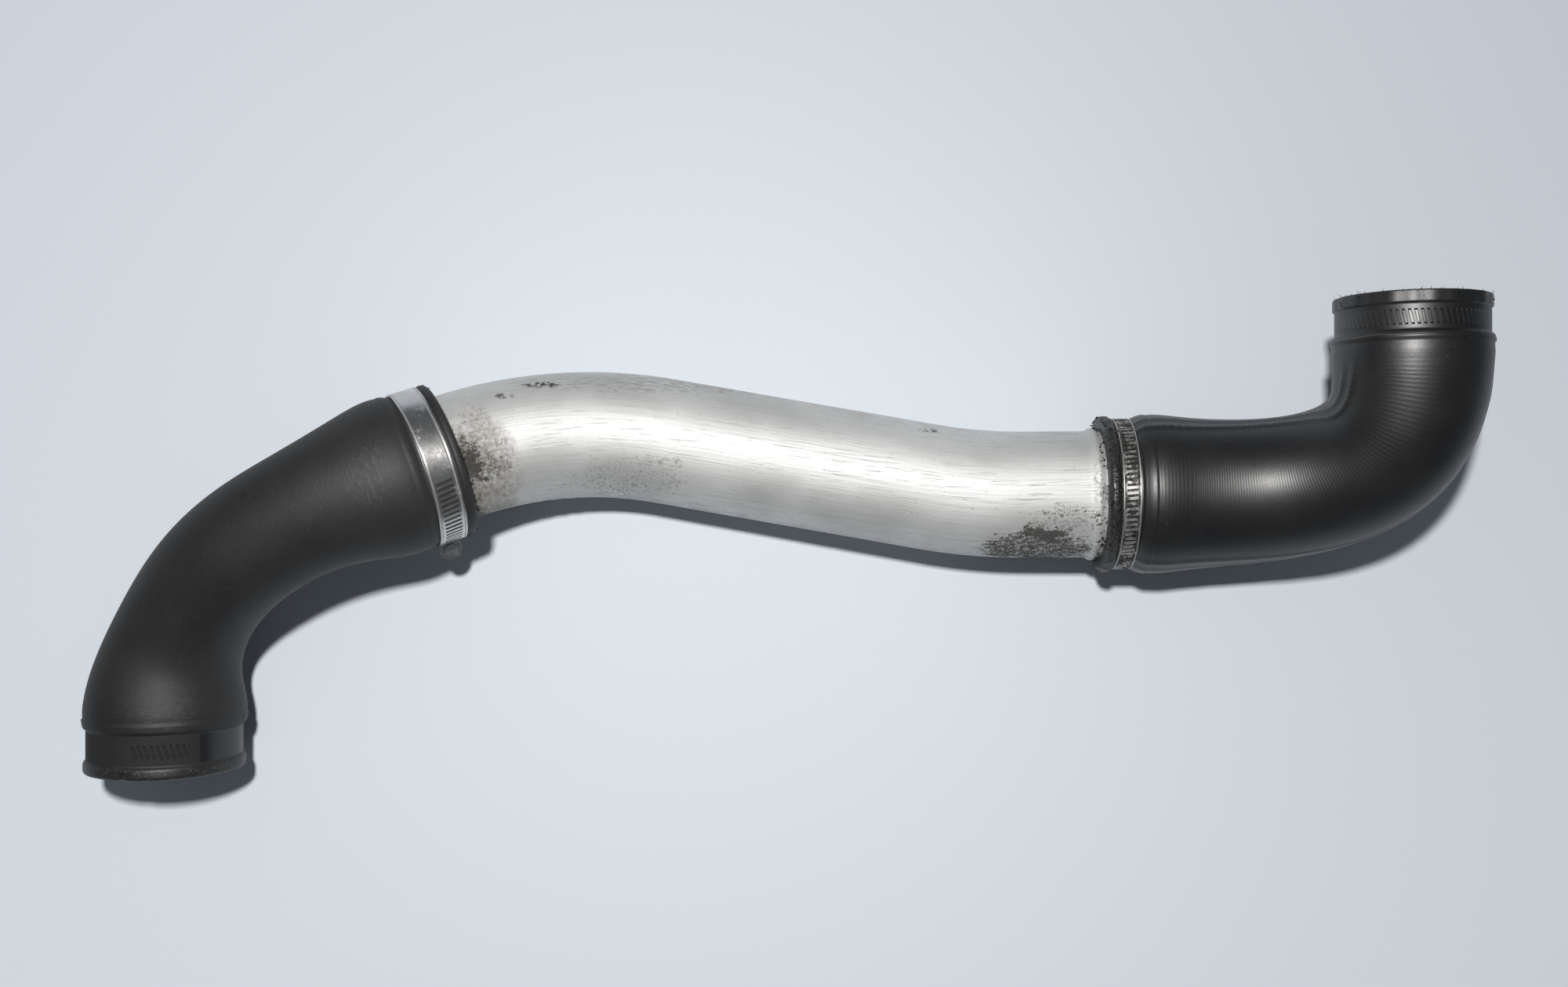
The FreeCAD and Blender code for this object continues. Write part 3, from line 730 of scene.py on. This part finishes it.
def steel_paint(name, joint, out, half_width, clean):
    """Strip steel with grime, and a dark line of painted crease shade along each edge."""
    paint = Paint(name, specular_ior_level=0.5)
    offset = paint.x * out[0] + paint.y * out[1] + paint.z * out[2]
    away = (offset * 1000.0 - float(joint.dot(out))).math("ABSOLUTE")
    edge = away.band(half_width - 1.5, half_width - 1.1, half_width - 0.8, half_width - 0.4)
    rim = away.step(half_width - 0.7, half_width - 0.2)
    cloud = paint.place.noise(140.0, 4.0, 0.6)
    fine = paint.place.noise(900.0, 3.0, 0.6)
    grime_and_crease_shade = (cloud + fine * 0.5).step(0.62 + clean * 0.25, 0.95 + clean * 0.25)
    # The edge line joins the grime: painted shade in the crease along each rolled edge.
    grime_and_crease_shade = (grime_and_crease_shade + edge * 0.45).capped() * (1.0 - rim * 0.7)
    color = cloud.step(0.3, 0.7).mix(DULL_STEEL, BRIGHT_STEEL)
    color = (grime_and_crease_shade * (1.0 - clean * 0.4)).mix(color, GRIME)
    return paint.feed(
        base_color=color,
        metallic=1.0 - grime_and_crease_shade * 0.7,
        roughness=0.2 + (1.0 - clean) * 0.12 + grime_and_crease_shade * 0.35 + fine * 0.08,
        normal=paint.bump(fine * 0.02 + cloud * 0.03 - edge * 0.12),
    )


left_steel = steel_paint("left_clamp_steel", left_joint, left_out, LEFT_STRAP_HALF, 0.85)
right_steel = steel_paint("right_clamp_steel", right_joint, right_out, RIGHT_STRAP_HALF, -0.2)
screw_steel = steel_paint("screw_steel", right_joint, right_out, NO_EDGES, 0.4)
for side, steel in (("left", left_steel), ("right", right_steel)):
    dress(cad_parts[f"{side}_clamp_band"], steel)
    dress(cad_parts[f"{side}_clamp_housing"], steel)
    dress(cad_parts[f"{side}_worm_screw"], screw_steel)

# %% [markdown]
# ## Crumbs and frayed threads
# Old rubber sheds. Small jittered lumps lie along the edges of both cuffs, and short threads stick out of the
# right rim where the reinforcing cloth was cut. One seeded generator places them, so every run is the same.

# %% Helpers for loose bits
dice = random.Random(7)
LUMP_AXES = np.array([(1, 0, 0), (0, 1, 0), (-1, 0, 0), (0, -1, 0), (0, 0, 1), (0, 0, -1)], float)


def on_tube(centre, direction, radius, degrees):
    """A point on a tube and the way out of it there."""
    up, side = ring_axes(direction)
    turn = math.radians(degrees)
    spoke = up * math.cos(turn) + side * math.sin(turn)
    return centre + spoke * radius, spoke


def bits(name, shapes):
    """One object from many small shapes, each a list of points and a list of faces."""
    points = []
    faces = []
    for corners, sides in shapes:
        faces += [[len(points) + corner for corner in side] for side in sides]
        points += [tuple(corner * MM) for corner in corners]
    mesh = bpy.data.meshes.new(name)
    mesh.from_pydata(points, [], faces)
    piece = bpy.data.objects.new(name, mesh)
    bpy.context.scene.collection.objects.link(piece)
    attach(piece, "root")
    print(name, len(shapes), "bits,", len(faces), "faces")
    return piece


def crumb(place, reach):
    """A lump: an octahedron with every corner pulled a different way."""
    corners = []
    for axis in LUMP_AXES:
        stretch = dice.uniform(0.6, 1.2)
        shove = dice.uniform(-1, 1)
        corners.append(place + axis * reach * stretch + reach * 0.3 * shove)
    sides = [(a, (a + 1) % 4, 4) for a in range(4)] + [((a + 1) % 4, a, 5) for a in range(4)]
    return corners, sides


def thread(place, heading, length, thick):
    """A bent three sided thread that thins to its tip."""
    corners = []
    bend = np.array([dice.uniform(-1, 1) for _ in range(3)]) * 0.5
    for step in range(5):
        share = step / 4
        centre = place + heading * length * share + bend * length * share**2
        for turn in (0.0, 2.1, 4.2):
            spread = np.array([math.cos(turn), 0.4 * math.sin(turn), math.sin(turn)])
            corners.append(centre + spread * thick * (1.1 - share))
    sides = []
    for step in range(4):
        for column in range(3):
            beside = (column + 1) % 3
            sides.append((3 * step + column, 3 * step + beside, 3 * step + 3 + beside, 3 * step + 3 + column))
    return corners, sides


print("one lump has", len(LUMP_AXES), "corners")

# %% [markdown]
# ## Scattering them
# The crumbs keep to the cuffs' free edges and the right lip. Each row of the table is a belt: a joint, two
# stations, a radius and a count. The threads leave the right rim at odd angles.

# %% Loose bits
lumps = []
for joint, out, near, far, radius, count in (
    (right_joint, right_out, 5.5, 10.4, 36.7, 150),
    (right_joint, right_out, 10.6, 13.0, 31.4, 60),
    (left_joint, left_out, 8.0, 11.6, 36.6, 70),
):
    for _ in range(count):
        station = dice.uniform(near, far)
        place, _ = on_tube(joint + out * station, out, radius - 0.15, dice.uniform(-115, 115))
        lumps.append(crumb(place, dice.choice((0.3, 0.4, 0.5, 0.8))))
for _ in range(26):
    centre = right_mouth + RIGHT_INWARD * dice.uniform(0.2, 4.5)
    place, _ = on_tube(centre, RIGHT_INWARD, 32.9, dice.uniform(-110, 110))
    lumps.append(crumb(place, dice.choice((0.3, 0.5, 0.7))))
crumbs = bits("rubber_crumbs", lumps)
threads = []
rim = right_mouth + RIGHT_INWARD * 0.4
for _ in range(46):
    place, spoke = on_tube(rim, RIGHT_INWARD, dice.uniform(30.5, 32.8), dice.uniform(-105, 105))
    heading = unit(-RIGHT_INWARD * dice.uniform(0.4, 1.0) + spoke * dice.uniform(0.0, 0.9))
    threads.append(thread(place, heading, dice.uniform(0.8, 2.6), 0.2))
fibres = bits("frayed_threads", threads)


def crumb_paint():
    """Dull, dusty rubber."""
    paint = Paint("rubber_crumb", specular_ior_level=0.4)
    tone = paint.place.noise(240.0, 2.0).step(0.4, 0.65)
    tone = tone.mix((0.004, 0.004, 0.004, 1), (0.03, 0.028, 0.024, 1))
    return paint.feed(base_color=tone, roughness=0.45 + paint.place.noise(700.0, 2.0) * 0.3)


for piece in (crumbs, fibres):
    dress(piece, crumb_paint())

# %% [markdown]
# ## Floor
# The photograph looks straight down on a pale, faintly blue sheet that is lit almost evenly. One lamp lights
# its far side more, so the sheet is painted a little darker there, and lighter on the near side and away from
# its middle: painted shade and painted light that even out the lamp.

# %% Floor
FLOOR_GAP = 0.0003


def floor_paint():
    """A pale, faintly blue sheet, with painted shade on its far side and painted light towards its edges."""
    paint = Paint("floor_sheet_painted_light", specular_ior_level=0.25)
    side = paint.x * paint.x + paint.y * paint.y + paint.place.noise(1.6, 2.0) * 0.04
    # Painted light: the colour grows lighter away from the sheet's middle, where the lamp lights less.
    edge = side.step(0.05, 0.34)
    near = edge.mix((0.73, 0.79, 0.845, 1), (0.86, 0.94, 1.0, 1))
    far = edge.mix((0.50, 0.54, 0.58, 1), (0.60, 0.652, 0.718, 1))
    # Painted shade: the far side is painted darker, where the lamp lights more.
    tone = paint.y.step(-0.45, 0.45).mix(near, far)
    grain = paint.place.noise(300.0, 2.0)
    return paint.feed(base_color=tone, roughness=0.55 + grain * 0.1)


floor_level = cad_box[0][2] - FLOOR_GAP
bpy.ops.mesh.primitive_plane_add(size=4.0, location=(0.29, 0.13, floor_level))
floor = bpy.context.object
floor.name = "floor"
dress(floor, floor_paint())

# %% [markdown]
# ## Light
# One lamp stands a little above the camera in the picture, so the shadows fall short and downwards. The world
# gives an even fill, as white walls do.

# %% Light
lamp = bpy.data.lights.new("key", "AREA")
lamp.energy = 11.8
lamp.size = 0.055
lamp.color = (1.0, 0.985, 0.97)
key = bpy.data.objects.new("key", lamp)
key.location = (0.23, 0.35, 1.0)
key.rotation_euler = (math.radians(-12.0), 0.0, 0.0)
bpy.context.scene.collection.objects.link(key)

world = bpy.data.worlds.new("studio")
world.use_nodes = True
world.node_tree.nodes["Background"].inputs["Color"].default_value = (0.85, 0.92, 1.0, 1)
world.node_tree.nodes["Background"].inputs["Strength"].default_value = 0.12
bpy.context.scene.world = world
print("key lamp", lamp.energy, "W at", tuple(key.location))

# %% [markdown]
# ## Camera
# The camera looks straight down, so it needs a place and a lens and no turn. Its height and lens give the
# framing of the photograph.

# %% Camera
lens = bpy.data.cameras.new("camera")
lens.lens = 34.36
lens.sensor_width = 36.0
camera = bpy.data.objects.new("camera", lens)
camera.location = (0.2942, 0.1306, 0.7128)
bpy.context.scene.collection.objects.link(camera)
bpy.context.scene.camera = camera
bpy.context.scene.view_settings.view_transform = "Standard"
print("camera", round(lens.lens, 2), "mm at", tuple(camera.location))
